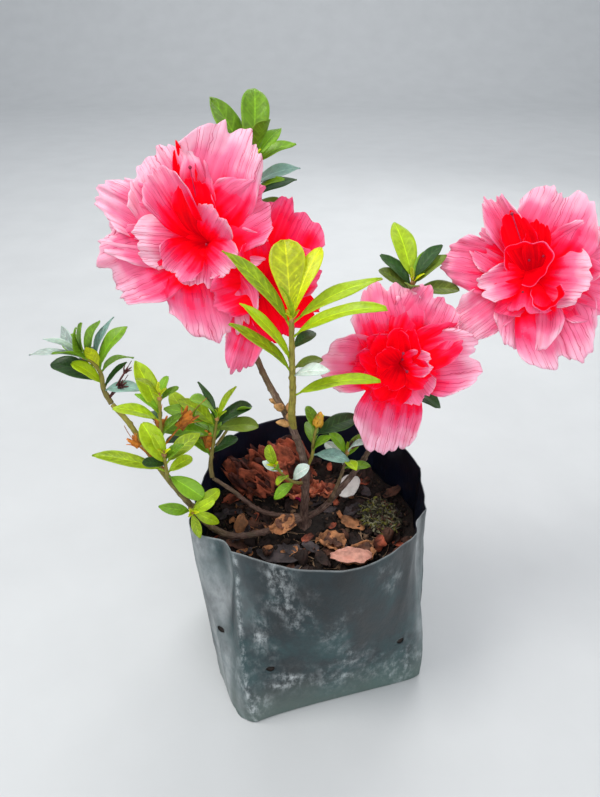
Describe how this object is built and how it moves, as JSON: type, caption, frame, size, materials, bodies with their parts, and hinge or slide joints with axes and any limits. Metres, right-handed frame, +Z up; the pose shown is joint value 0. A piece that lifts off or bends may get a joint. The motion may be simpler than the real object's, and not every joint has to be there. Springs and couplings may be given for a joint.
{
  "type": "potted azalea shrub",
  "caption": "Small azalea shrub with open ruffled pink blossom and leafy shoots on thin stems, growing in a black film nursery bag filled with soil.",
  "frame": {"origin": "middle of the bag's flat underside", "axes": "+Z up, -Y towards the side that the blossom faces, +X to the right of a viewer who looks at the blossom"},
  "size_m": [0.2322, 0.1093, 0.277],
  "materials": {
    "bag_film": "thin black film, dusty",
    "soil": "dark, crumbly and matte",
    "bark": "thin rough bark, brown",
    "leaves": "satin leaf green",
    "petals": "soft, ruffled pink with a red throat",
    "withered_petal": "dry and crumpled, reddish brown",
    "dead_leaf": "dry and matte, brown",
    "pale_flake": "dry and matte, pale grey",
    "moss": "matte, olive brown"
  },
  "bodies": {
    "root": {"grow_bag": "bag_film", "soil": "soil", "main_stem": "bark", "left_bough": "bark", "far_left_bough": "bark", "right_bough": "bark", "right_upper_bough": "bark", "bloom_upper": "petals", "bloom_centre": "petals", "bloom_right": "petals", "foliage_light_shoot": "leaves", "foliage_top": "leaves", "foliage_centre": "leaves", "foliage_far_left": "leaves", "foliage_left_low": "leaves", "foliage_left_tall": "leaves", "foliage_left_rim": "leaves", "foliage_left_rear": "leaves", "foliage_inner": "leaves", "foliage_bud_shoot": "leaves", "foliage_small_right": "leaves", "foliage_behind_centre": "leaves", "foliage_behind_upper": "leaves", "foliage_behind_right": "leaves", "withered_petals": "withered_petal", "withered_bloom": "withered_petal", "dead_leaf_left": "dead_leaf", "dead_leaf_front": "dead_leaf", "dead_leaf_rim": "dead_leaf", "crumpled_leaf_left": "dead_leaf", "crumpled_leaf_middle": "dead_leaf", "crumpled_leaf_right": "dead_leaf", "pale_flake": "pale_flake", "moss_tuft": "moss"}
  },
  "joints": []
}
